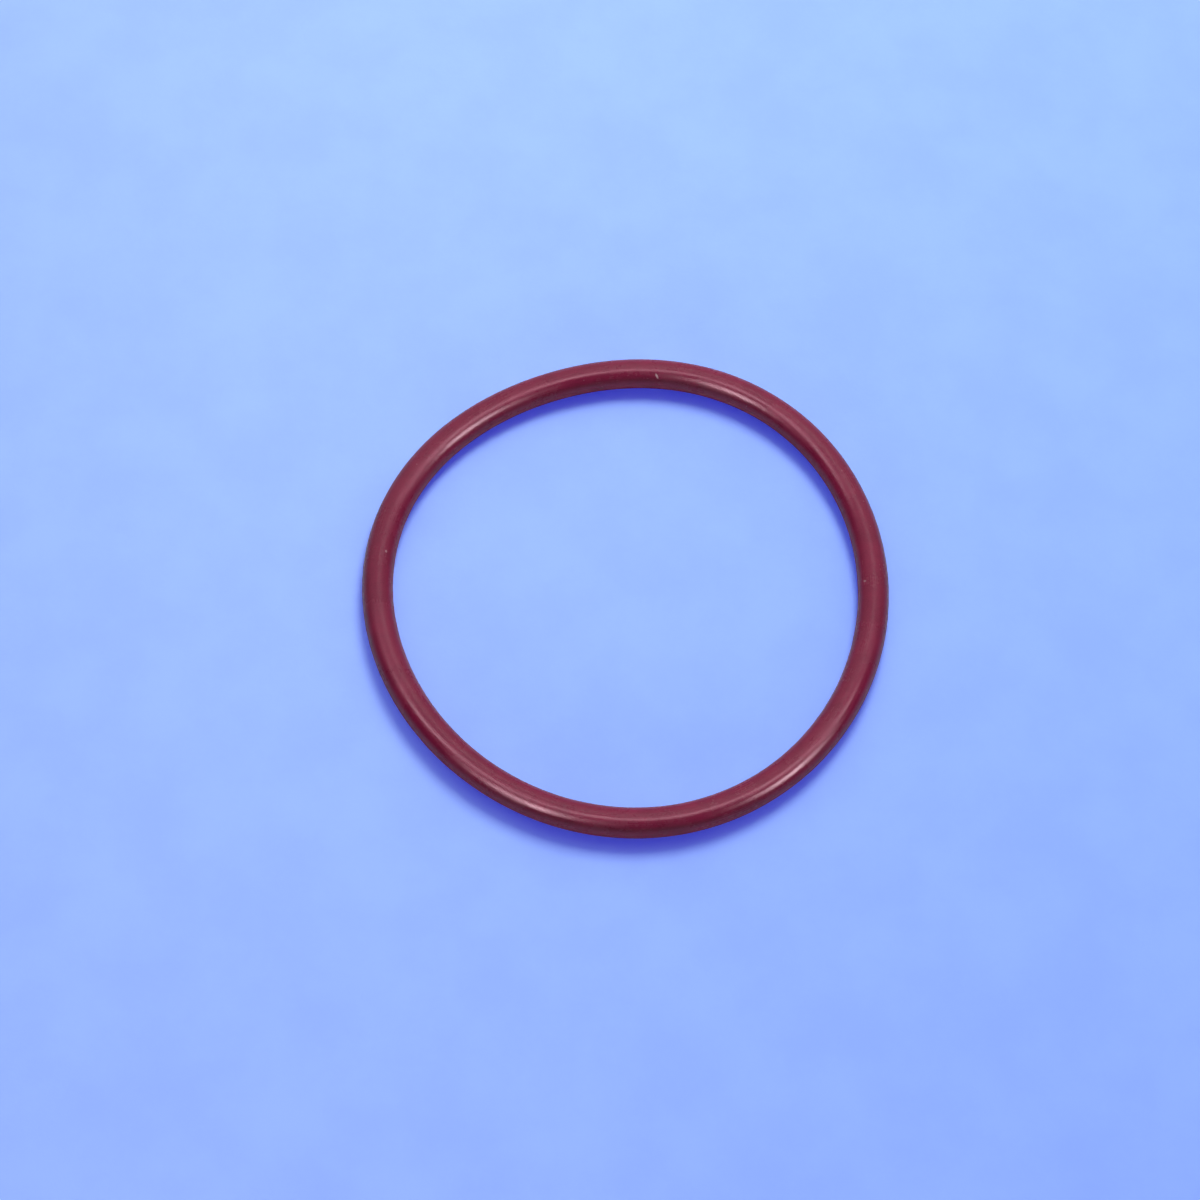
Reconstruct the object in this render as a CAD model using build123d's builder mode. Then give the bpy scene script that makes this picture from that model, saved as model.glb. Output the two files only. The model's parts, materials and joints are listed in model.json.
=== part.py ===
"""Moulded rubber sealing ring of round section, for the hub of a torque converter.

The ring is one moulding: a round cord closed into a circle.  It lies flat on the plane Z = 0
with its axis on +Z.  The two halves of its mould meet on the ring's middle plane, and leave a
fine line of trimmed flash around the inner rim and another around the outer rim.
"""

import os

from build123d import *

# Driving dimensions, in millimetres
inside_diameter = 54.0  # across the hole, from cord to cord, without the flash lines
cord_diameter = 3.5  # the round section
flash_height = 0.06  # how far a flash line stands out of the cord
flash_width = 0.20  # a flash line's size along the ring's axis
flash_root_radius = 0.02  # blend between a flash line and the cord
flash_edge_radius = 0.02  # rounding of a flash line's trimmed edge

# Sizes that follow from them
cord_radius = cord_diameter / 2
ring_radius = inside_diameter / 2 + cord_radius  # from the axis to the middle of the cord
parting_height = cord_radius  # the middle plane, above what the ring lies on
width_over_flash = cord_diameter + 2 * flash_height

# The moulded ring: its section, turned once around the axis
with BuildPart() as seal_ring:
    with BuildSketch(Plane.XZ) as section:
        with Locations((ring_radius, parting_height)):
            Circle(cord_radius)
            Rectangle(width_over_flash, flash_width)

        # Grouped from the hole outwards: inner edge, inner root, outer root, outer edge
        inner_root, outer_root = section.vertices().group_by(Axis.X)[1:3]
        fillet(inner_root + outer_root, radius=flash_root_radius)

        inner_edge = section.vertices().group_by(Axis.X)[0]
        outer_edge = section.vertices().group_by(Axis.X)[-1]
        fillet(inner_edge + outer_edge, radius=flash_edge_radius)
    revolve(axis=Axis.Z)

seal_ring.part.label = "seal_ring"

os.makedirs("parts", exist_ok=True)
export_step(seal_ring.part, "parts/seal_ring.step")
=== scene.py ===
"""A moulded rubber sealing ring, lying free on a pale blue sheet.

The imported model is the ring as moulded, a true circle.  The ring that shows here has the same
section, on the slightly uneven loop that soft rubber relaxes to when nothing holds it.
"""

import json
import math

import bpy
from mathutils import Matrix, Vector, noise


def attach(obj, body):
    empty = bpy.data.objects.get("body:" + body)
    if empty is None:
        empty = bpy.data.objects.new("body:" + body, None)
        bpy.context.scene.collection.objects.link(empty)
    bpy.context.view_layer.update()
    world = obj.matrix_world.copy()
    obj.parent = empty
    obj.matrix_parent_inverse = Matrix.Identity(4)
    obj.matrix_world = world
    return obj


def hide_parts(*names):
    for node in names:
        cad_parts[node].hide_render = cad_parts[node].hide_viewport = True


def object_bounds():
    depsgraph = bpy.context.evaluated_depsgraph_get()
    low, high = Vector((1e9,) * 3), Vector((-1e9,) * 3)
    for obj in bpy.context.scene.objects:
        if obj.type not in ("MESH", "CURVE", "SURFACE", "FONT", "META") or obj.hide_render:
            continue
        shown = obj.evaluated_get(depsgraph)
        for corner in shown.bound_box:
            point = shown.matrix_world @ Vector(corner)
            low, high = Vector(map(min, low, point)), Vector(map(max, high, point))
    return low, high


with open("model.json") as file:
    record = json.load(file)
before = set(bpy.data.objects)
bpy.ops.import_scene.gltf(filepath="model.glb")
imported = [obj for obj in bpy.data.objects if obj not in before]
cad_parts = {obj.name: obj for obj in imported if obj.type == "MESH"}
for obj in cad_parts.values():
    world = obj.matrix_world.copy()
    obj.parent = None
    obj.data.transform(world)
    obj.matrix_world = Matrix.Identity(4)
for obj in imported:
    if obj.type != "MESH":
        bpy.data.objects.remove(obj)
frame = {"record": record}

cad_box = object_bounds()
MM = 0.001

# ---------------------------------------------------------------- sizes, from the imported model
MOUNTS = {mount["name"]: mount for mount in frame["record"]["mounts"]}
hole_radius = MOUNTS["hub_seat"]["dims"]["r_mm"] * MM  # at the inner parting line
rim_radius = MOUNTS["groove_wall"]["dims"]["r_mm"] * MM  # at the outer parting line
cord_radius = (cad_box[1].z - cad_box[0].z) / 2
ring_radius = (hole_radius + rim_radius) / 2  # from the axis to the middle of the cord
flash_height = (rim_radius - hole_radius) / 2 - cord_radius

# ---------------------------------------------------------------- the ring's form
# How the loop strays from a circle: bulges in it, share of the radius, azimuth of one bulge
OUT_OF_ROUND = ((3, 0.0136, 50), (4, 0.0031, 68), (5, 0.0010, 3))

FLASH_FLAT = 0.07 * MM  # half the flat of the parting line, along the ring's axis
FLASH_FOOT = 0.10 * MM  # half its width where it meets the cord
FLASH_REACH = math.asin(1.25 * FLASH_FOOT / cord_radius)  # angle its finer steps take up, halved
FLASH_LEFT = (0.45, 1.0)  # least and most of its height that the trimming left
FLASH_RAGGED = 1.1 / MM  # how quickly that changes along the ring, per metre

SWELL = 0.010 * MM  # how far the moulded cord's skin wanders in and out
SWELL_PER_METRE = 0.22 / MM

STEPS_AROUND = 896
BLOCKS = 4  # the map for textures cuts the loop into this many rows of this many lengths
BLOCK_GAP = 0.02  # left free around each, as a share of it
STEPS_OVER_CORD = 34  # on the upper half of the section, and again on the lower
STEPS_OVER_FLASH = 12


def loop_point(turn):
    """Middle of the cord at an angle around the ring, and the direction out of the ring there."""
    radius, slope = ring_radius, 0.0
    for bulges, share, azimuth in OUT_OF_ROUND:
        phase = bulges * (turn - math.radians(azimuth))
        radius += ring_radius * share * math.cos(phase)
        slope -= ring_radius * share * bulges * math.sin(phase)
    radial = Vector((math.cos(turn), math.sin(turn), 0))
    tangent = slope * radial + radius * Vector((-math.sin(turn), math.cos(turn), 0))
    tangent.normalize()
    return radius * radial, Vector((tangent.y, -tangent.x, 0))


def section_angles():
    """Angles around the section, from the outer parting line up and over, finer at both lines."""
    angles = []
    for equator in (0, math.pi):
        for step in range(STEPS_OVER_FLASH):
            angles.append(equator - FLASH_REACH + 2 * FLASH_REACH * step / STEPS_OVER_FLASH)
        between = math.pi - 2 * FLASH_REACH
        for step in range(STEPS_OVER_CORD):
            angles.append(equator + FLASH_REACH + between * step / STEPS_OVER_CORD)
    return angles


def flash_at(height, left):
    """How far the parting line stands out of the cord at a height above the middle plane."""
    fall = (abs(height) - FLASH_FLAT) / (FLASH_FOOT - FLASH_FLAT)
    fall = min(1.0, max(0.0, fall))
    return flash_height * left * (1 - fall * fall * (3 - 2 * fall))


def flash_left(point):
    """Share of the parting line's height that the trimming left at a place on the ring."""
    ragged = 0.5 + 0.5 * noise.noise(point * FLASH_RAGGED)
    return FLASH_LEFT[0] + (FLASH_LEFT[1] - FLASH_LEFT[0]) * ragged


def build_ring():
    """The whole ring as one closed mesh of quads."""
    angles = section_angles()
    count = len(angles)
    points = []
    for around in range(STEPS_AROUND):
        middle, outward = loop_point(2 * math.pi * around / STEPS_AROUND)
        for angle in angles:
            direction = math.cos(angle) * outward + math.sin(angle) * Vector((0, 0, 1))
            rim = middle + math.copysign(cord_radius, math.cos(angle)) * outward
            stands = flash_at(cord_radius * math.sin(angle), flash_left(rim))
            spot = middle + cord_radius * direction
            swell = SWELL * noise.noise(spot * SWELL_PER_METRE)
            place = spot + swell * direction + math.copysign(stands, math.cos(angle)) * outward
            points.append(place + Vector((0, 0, cord_radius)))
    faces = []
    for around in range(STEPS_AROUND):
        here, there = around * count, (around + 1) % STEPS_AROUND * count
        for k in range(count):
            following = (k + 1) % count
            faces.append((here + k, there + k, there + following, here + following))
    mesh = bpy.data.meshes.new("seal_ring_relaxed")
    mesh.from_pydata(points, [], faces)
    mesh.shade_smooth()

    add_maps(mesh, angles)
    ring = bpy.data.objects.new("seal_ring_relaxed", mesh)
    bpy.context.scene.collection.objects.link(ring)
    return ring


def add_maps(mesh, angles):
    """Two maps: "turns", once around ring and section, and "OFBake", the skin in square pieces."""
    count = len(angles)
    turns = mesh.uv_layers.new(name="turns")
    blocks = mesh.uv_layers.new(name="OFBake")
    per_block = STEPS_AROUND // BLOCKS ** 2
    used = 1 - 2 * BLOCK_GAP
    corner = 0
    for around in range(STEPS_AROUND):
        block, step = divmod(around, per_block)
        column, row = block % BLOCKS, block // BLOCKS
        for k in range(count):
            low = (angles[k] - angles[0]) / (2 * math.pi)
            last = k + 1 == count
            high = 1.0 if last else (angles[k + 1] - angles[0]) / (2 * math.pi)
            for ahead, v in ((0, low), (1, low), (1, high), (0, high)):
                turns.uv[corner].vector = ((around + ahead) / STEPS_AROUND, v)
                along = BLOCK_GAP + used * (step + ahead) / per_block
                over = BLOCK_GAP + used * v
                blocks.uv[corner].vector = ((column + along) / BLOCKS, (row + over) / BLOCKS)
                corner += 1


# ---------------------------------------------------------------- materials
RUBBER_DEEP = (0.168, 0.0042, 0.036)
RUBBER_PLAIN = (0.222, 0.0068, 0.046)
RUBBER_PALE = (0.285, 0.020, 0.064)
DUST = (0.55, 0.36, 0.40)
# the sheet's colour, with painted shade: it darkens towards the right, where the light falls off
SHEET_BRIGHT = (0.425, 0.665, 0.97)
SHEET_SHADED = (0.350, 0.575, 0.93)
SHEET_SHADE_TOWARDS = (1.0, -0.05, 0)
SHEET_SHADE_OVER = (-0.06, 0.07)  # metres along that direction
SHADOW_GLOW_BLUE = (0.0, 0.01, 1.0, 1)  # painted blue glow, seen only by the camera, that keeps the sheet blue in its shadows
SHADOW_GLOW_STRENGTH = 0.42
BACKDROP = (0.385, 0.555, 0.97, 1)
SWEEP = (0.09, 0.24)  # metres from the ring's axis over which the sheet becomes the backdrop
LINES_ALONG = 3.0  # how quickly the turning lines change along the ring, and from line to line
LINES_ACROSS = 95.0
FLASH_AT = FLASH_REACH / (2 * math.pi)  # the outer parting line, on the map "turns"
# dust: azimuth, angle up from the outer parting line, half length, half width, lean, cover
FLECKS = ((84, 127, 0.42 * MM, 0.14 * MM, 118, 0.9), (173, 117, 0.20 * MM, 0.15 * MM, 20, 0.45),
          (2, 128, 0.22 * MM, 0.14 * MM, 75, 0.45))


def new_material(name):
    material = bpy.data.materials.new(name)
    material.use_nodes = True
    tree = material.node_tree
    return material, tree, tree.nodes["Principled BSDF"]


def add_node(tree, kind, settings=None, values=None):
    """A new node with its settings and the plain values of its sockets."""
    node = tree.nodes.new(kind)
    for name, value in (settings or {}).items():
        setattr(node, name, value)
    for socket, value in (values or {}).items():
        node.inputs[socket].default_value = value
    return node


def ramp(tree, source, stops):
    """A colour ramp fed from a socket: stops are (position, colour), first and last."""
    node = add_node(tree, "ShaderNodeValToRGB")
    for element, (position, colour) in zip(node.color_ramp.elements, stops):
        element.position = position
        element.color = (*colour, 1)
    tree.links.new(source, node.inputs["Fac"])
    return node.outputs["Color"]


def math_node(tree, operation, first, second=None, third=None):
    """A maths node on sockets or plain numbers."""
    node = add_node(tree, "ShaderNodeMath", {"operation": operation})
    for socket, value in zip(node.inputs, (first, second, third)):
        if isinstance(value, bpy.types.NodeSocket):
            tree.links.new(value, socket)
        elif value is not None:
            socket.default_value = value
    return node.outputs["Value"]


def span(tree, source, low, high, to_low=0.0, to_high=1.0):
    """A socket's value taken smoothly from one span to another."""
    node = add_node(tree, "ShaderNodeMapRange", {"interpolation_type": "SMOOTHSTEP"},
                    {"From Min": low, "From Max": high, "To Min": to_low, "To Max": to_high})
    tree.links.new(source, node.inputs["Value"])
    return node.outputs["Result"]


def noise_on(tree, vector, scale, detail, rough):
    node = add_node(tree, "ShaderNodeTexNoise",
                    values={"Scale": scale, "Detail": detail, "Roughness": rough})
    tree.links.new(vector, node.inputs["Vector"])
    return node.outputs["Fac"]


def fleck(tree, place, spot, half_length, half_width, lie):
    """A mask, 1 on a small fleck of dust at a spot of the ring. lie is the direction it points."""
    offset = add_node(tree, "ShaderNodeVectorMath", {"operation": "SUBTRACT"})
    tree.links.new(place, offset.inputs[0])
    offset.inputs[1].default_value = spot
    along = add_node(tree, "ShaderNodeVectorMath", {"operation": "DOT_PRODUCT"})
    tree.links.new(offset.outputs["Vector"], along.inputs[0])
    along.inputs[1].default_value = lie.normalized()
    reach = add_node(tree, "ShaderNodeVectorMath", {"operation": "LENGTH"})
    tree.links.new(offset.outputs["Vector"], reach.inputs[0])
    # squared distance in half widths, shortened along the fleck
    along_share = math_node(tree, "DIVIDE", along.outputs["Value"], half_width)
    along_share = math_node(tree, "POWER", along_share, 2)
    whole = math_node(tree, "DIVIDE", reach.outputs["Value"], half_width)
    whole = math_node(tree, "POWER", whole, 2)
    shortened = math_node(tree, "MULTIPLY", along_share, 1 - (half_width / half_length) ** 2)
    return span(tree, math_node(tree, "SUBTRACT", whole, shortened), 1.0, 0.35)


def blend(tree, share, low, high):
    """Mix of two colours, each a socket or a plain colour, by a socket."""
    node = add_node(tree, "ShaderNodeMix", {"data_type": "RGBA"})
    tree.links.new(share, node.inputs[0])
    for socket, value in ((node.inputs[6], low), (node.inputs[7], high)):
        if isinstance(value, bpy.types.NodeSocket):
            tree.links.new(value, socket)
        else:
            socket.default_value = (*value, 1)
    return node.outputs[2]


def red_brown_rubber():
    """Moulded satin rubber, faintly mottled, with turning lines, handling smears and dust."""
    material, tree, shader = new_material("red_brown_rubber")
    link = tree.links.new
    shader.inputs["IOR"].default_value = 1.42

    place = add_node(tree, "ShaderNodeTexCoord").outputs["Object"]
    turns = add_node(tree, "ShaderNodeUVMap", {"uv_map": "turns"})
    around = add_node(tree, "ShaderNodeSeparateXYZ")
    link(turns.outputs["UV"], around.inputs["Vector"])
    over_section = around.outputs["Y"]

    # along the ring slowly and over its section quickly: the lines a turned mould leaves
    turn = math_node(tree, "MULTIPLY", around.outputs["X"], 2 * math.pi)
    winding = add_node(tree, "ShaderNodeCombineXYZ")
    for wave, axis in (("COSINE", "X"), ("SINE", "Y")):
        swing = math_node(tree, wave, turn)
        link(math_node(tree, "MULTIPLY", swing, LINES_ALONG), winding.inputs[axis])
    link(math_node(tree, "MULTIPLY", over_section, LINES_ACROSS), winding.inputs["Z"])
    lines = noise_on(tree, winding.outputs["Vector"], 1.0, 2.0, 0.6)

    # 1 on the parting lines, inside and outside the ring
    past_parting = math_node(tree, "SUBTRACT", over_section, FLASH_AT)
    from_parting = math_node(tree, "PINGPONG", past_parting, 0.25)
    parting = span(tree, from_parting, 0.020, 0.006)

    mottle = noise_on(tree, place, 0.42 / MM, 4.0, 0.6)
    grain = noise_on(tree, place, 7.0 / MM, 3.0, 0.6)
    smears = noise_on(tree, place, 0.16 / MM, 3.0, 0.55)
    specks = noise_on(tree, place, 2.6 / MM, 2.0, 0.5)

    colour = ramp(tree, mottle, ((0.30, RUBBER_DEEP), (0.72, RUBBER_PLAIN)))
    colour = blend(tree, span(tree, grain, 0.35, 0.75, 0.0, 0.35), colour, RUBBER_PALE)
    colour = blend(tree, math_node(tree, "MULTIPLY", parting, 0.45), colour, RUBBER_PALE)
    colour = blend(tree, span(tree, specks, 0.745, 0.80, 0.0, 0.40), colour, DUST)
    up = Vector((0, 0, 1))
    for azimuth, over, half_length, half_width, lean, cover in FLECKS:
        middle, outward = loop_point(math.radians(azimuth))
        rise = math.radians(over)
        spot = middle + cord_radius * (math.cos(rise) * outward + (math.sin(rise) + 1) * up)
        forward = Vector((-outward.y, outward.x, 0))
        uphill = math.cos(rise) * up - math.sin(rise) * outward
        lie = math.cos(math.radians(lean)) * forward + math.sin(math.radians(lean)) * uphill
        mask = fleck(tree, place, spot, half_length, half_width, lie)
        colour = blend(tree, math_node(tree, "MULTIPLY", mask, cover), colour, DUST)
    link(colour, shader.inputs["Base Color"])

    rough = span(tree, smears, 0.32, 0.70, 0.16, 0.26)
    rough = math_node(tree, "MULTIPLY_ADD", lines, 0.08, rough)
    rough = math_node(tree, "MULTIPLY_ADD", parting, 0.18, rough)
    link(math_node(tree, "MULTIPLY_ADD", specks, 0.05, rough), shader.inputs["Roughness"])

    pits = add_node(tree, "ShaderNodeBump", values={"Strength": 0.7, "Distance": 0.007 * MM})
    link(grain, pits.inputs["Height"])
    scored = add_node(tree, "ShaderNodeBump", values={"Strength": 0.8, "Distance": 0.013 * MM})
    link(lines, scored.inputs["Height"])
    link(pits.outputs["Normal"], scored.inputs["Normal"])
    link(scored.outputs["Normal"], shader.inputs["Normal"])
    return material


def blue_sheet():
    """Pale blue sheet, with painted shade that darkens it a little to the right. A painted blue
    glow, seen only by the camera, keeps its blue in the shade.
    """
    material, tree, shader = new_material("blue_sheet")
    link = tree.links.new
    shader.inputs["Roughness"].default_value = 0.7
    shader.inputs["Specular IOR Level"].default_value = 0.2
    place = add_node(tree, "ShaderNodeTexCoord").outputs["Object"]

    slant = add_node(tree, "ShaderNodeVectorMath", {"operation": "DOT_PRODUCT"})
    slant.inputs[1].default_value = SHEET_SHADE_TOWARDS
    link(place, slant.inputs[0])
    # painted shade: the sheet's colour darkens to the right, as the light falls off across it
    painted_shade_share = span(tree, slant.outputs["Value"], *SHEET_SHADE_OVER)
    tones = ramp(tree, painted_shade_share, ((0.0, SHEET_BRIGHT), (1.0, SHEET_SHADED)))
    cloudy = noise_on(tree, place, 0.09 / MM, 5.0, 0.62)
    uneven = add_node(tree, "ShaderNodeVectorMath", {"operation": "SCALE"})
    link(tones, uneven.inputs["Vector"])
    link(span(tree, cloudy, 0.3, 0.7, 0.965, 1.035), uneven.inputs["Scale"])
    link(uneven.outputs["Vector"], shader.inputs["Base Color"])

    tooth = add_node(tree, "ShaderNodeBump", values={"Strength": 0.5, "Distance": 0.02 * MM})
    link(noise_on(tree, place, 2.2 / MM, 3.0, 0.6), tooth.inputs["Height"])
    link(tooth.outputs["Normal"], shader.inputs["Normal"])

    # painted light: a blue glow seen only by the camera, so the sheet stays blue in its shadows
    seen = add_node(tree, "ShaderNodeLightPath").outputs["Is Camera Ray"]
    shader.inputs["Emission Color"].default_value = SHADOW_GLOW_BLUE
    link(math_node(tree, "MULTIPLY", seen, SHADOW_GLOW_STRENGTH), shader.inputs["Emission Strength"])

    # away from the ring the sheet runs into the backdrop, as a curved paper does
    distance = add_node(tree, "ShaderNodeVectorMath", {"operation": "LENGTH"})
    link(place, distance.inputs[0])
    far_off = span(tree, distance.outputs["Value"], *SWEEP)
    backdrop = add_node(tree, "ShaderNodeEmission", values={"Color": BACKDROP, "Strength": 1.0})
    sweep = add_node(tree, "ShaderNodeMixShader")
    link(math_node(tree, "MULTIPLY", far_off, seen), sweep.inputs["Fac"])
    link(shader.outputs["BSDF"], sweep.inputs[1])
    link(backdrop.outputs["Emission"], sweep.inputs[2])
    link(sweep.outputs["Shader"], tree.nodes["Material Output"].inputs["Surface"])
    return material


# ---------------------------------------------------------------- the stage
def direction_to(azimuth, elevation):
    """Unit vector towards an azimuth from +X towards +Y and an elevation, both in degrees."""
    a, e = math.radians(azimuth), math.radians(elevation)
    return Vector((math.cos(a) * math.cos(e), math.sin(a) * math.cos(e), math.sin(e)))


def add_floor(half_width=4.0):
    corners = [(-half_width, -half_width, 0), (half_width, -half_width, 0),
               (half_width, half_width, 0), (-half_width, half_width, 0)]
    mesh = bpy.data.meshes.new("floor")
    mesh.from_pydata(corners, [], [(0, 1, 2, 3)])
    floor = bpy.data.objects.new("floor", mesh)
    bpy.context.scene.collection.objects.link(floor)
    mesh.materials.append(blue_sheet())


def add_panel(name, azimuth, elevation, distance, across, tall, radiance, colour, gleams):
    """A rectangular light facing the ring, either for gleams only or for everything else.

    Radiance 1 is as bright as white paper in plain light. Angles are in degrees.
    """
    light = bpy.data.lights.new(name, "AREA")
    light.shape = "RECTANGLE"
    light.size = 2 * distance * math.tan(math.radians(across / 2))
    light.size_y = 2 * distance * math.tan(math.radians(tall / 2))
    light.energy = radiance * math.pi * light.size * light.size_y
    light.color = colour
    lamp = bpy.data.objects.new(name, light)
    lamp.location = distance * direction_to(azimuth, elevation)
    lamp.rotation_mode = "QUATERNION"
    lamp.rotation_quaternion = direction_to(azimuth, elevation).to_track_quat("Z", "Y")
    lamp.visible_camera = False
    lamp.visible_diffuse = not gleams
    lamp.visible_glossy = gleams
    bpy.context.scene.collection.objects.link(lamp)


def add_lights():
    """A soft key behind the ring, a low fill before it, and what shows as gleams in the rubber."""
    white = (1.0, 0.98, 0.99)
    rosy = (1.0, 0.76, 0.85)
    add_panel("key", 72, 56, 0.38, 23, 21, 12.2, white, gleams=False)
    add_panel("front_fill", -90, 11, 1.2, 76, 18, 2.6, white, gleams=False)
    add_panel("overhead_strip", 90, 87, 1.2, 84, 13, 7.8, rosy, gleams=True)
    add_panel("left_window", -128, 46, 1.2, 13, 24, 26.0, rosy, gleams=True)
    add_panel("right_window", -29, 39, 1.2, 14, 20, 27.0, rosy, gleams=True)


def light_world():
    """A dim room, bright above and behind the ring. The camera sees only the plain backdrop."""
    world = bpy.data.worlds.new("room")
    bpy.context.scene.world = world
    world.use_nodes = True
    tree = world.node_tree
    link = tree.links.new
    way = add_node(tree, "ShaderNodeTexCoord")
    parts = add_node(tree, "ShaderNodeSeparateXYZ")
    link(way.outputs["Generated"], parts.inputs["Vector"])
    behind = span(tree, parts.outputs["Y"], -0.15, 0.75, 0.02, 1.25)
    above = add_node(tree, "ShaderNodeMapRange", values={"To Min": 0.35, "To Max": 1.0})
    link(parts.outputs["Z"], above.inputs["Value"])
    strength = math_node(tree, "MULTIPLY", behind, above.outputs["Result"])
    fill = tree.nodes["Background"]
    fill.inputs["Color"].default_value = (1, 0.98, 1, 1)
    link(strength, fill.inputs["Strength"])

    backdrop = add_node(tree, "ShaderNodeBackground", values={"Color": BACKDROP, "Strength": 1.0})
    seen = add_node(tree, "ShaderNodeLightPath")
    choice = add_node(tree, "ShaderNodeMixShader")
    link(seen.outputs["Is Camera Ray"], choice.inputs["Fac"])
    link(fill.outputs["Background"], choice.inputs[1])
    link(backdrop.outputs["Background"], choice.inputs[2])
    link(choice.outputs["Shader"], tree.nodes["World Output"].inputs["Surface"])


# The camera, as the ring was seen: straight from the front, from well above
CAMERA_ELEVATION = 64.8
CAMERA_DISTANCE = 12.0 * ring_radius
FRAME_WIDTH = 4.863 * ring_radius  # what the frame takes in at that distance
AIM = Vector((-0.1122, -0.0237, 0)) * ring_radius  # the ring sits a little right of the middle


def add_camera():
    camera = bpy.data.cameras.new("camera")
    camera.lens = camera.sensor_width * CAMERA_DISTANCE / FRAME_WIDTH
    camera.clip_start, camera.clip_end = 0.01, 20
    viewer = bpy.data.objects.new("camera", camera)
    viewer.location = CAMERA_DISTANCE * direction_to(-90, CAMERA_ELEVATION)
    viewer.rotation_mode = "QUATERNION"
    viewer.rotation_quaternion = (viewer.location - AIM).to_track_quat("Z", "Y")
    bpy.context.scene.collection.objects.link(viewer)
    bpy.context.scene.camera = viewer


# ---------------------------------------------------------------- putting it together
bpy.context.scene.view_settings.view_transform = "Standard"

ring = build_ring()
ring.data.materials.append(red_brown_rubber())
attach(ring, "root")
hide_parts("seal_ring")

add_floor()
add_lights()
light_world()
add_camera()
